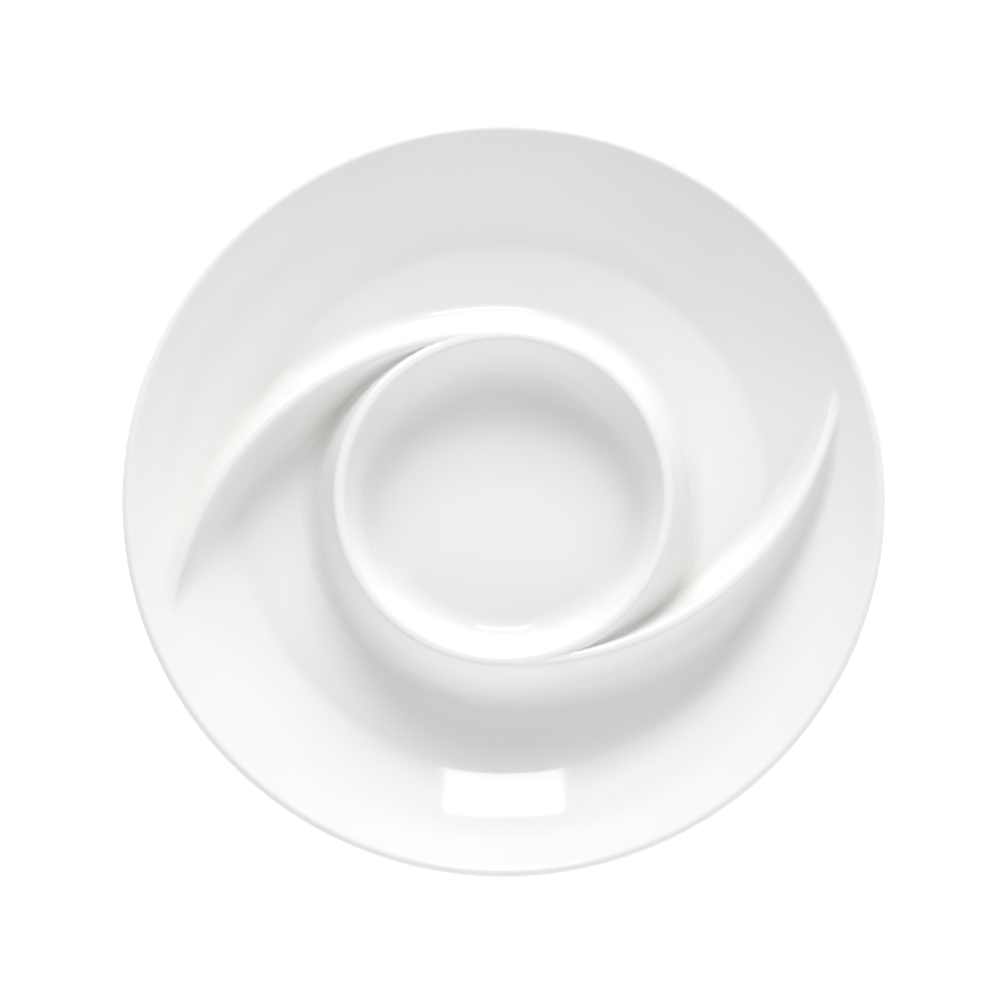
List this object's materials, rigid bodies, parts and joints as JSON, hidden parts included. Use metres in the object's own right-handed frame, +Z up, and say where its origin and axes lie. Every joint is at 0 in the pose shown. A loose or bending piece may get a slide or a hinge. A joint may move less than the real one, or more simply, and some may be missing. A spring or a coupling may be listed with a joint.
{
  "type": "chip and dip server",
  "caption": "Round glazed porcelain dish with a central dip bowl and curved dividers that swirl out to the wall, making separate chip wells.",
  "frame": {"origin": "middle of the foot ring, on the plane it stands on", "axes": "+Z up along the axis of the dip bowl; +Y towards the side where the divider that ends at -X leaves the bowl; +X to the right of that, towards the tip of the other divider"},
  "size_m": [0.33, 0.33, 0.0354],
  "materials": {
    "glazed_porcelain": "glossy clear glaze over white porcelain, bare on the standing face of the foot ring"
  },
  "bodies": {
    "root": {"server_body": "glazed_porcelain"}
  },
  "joints": []
}
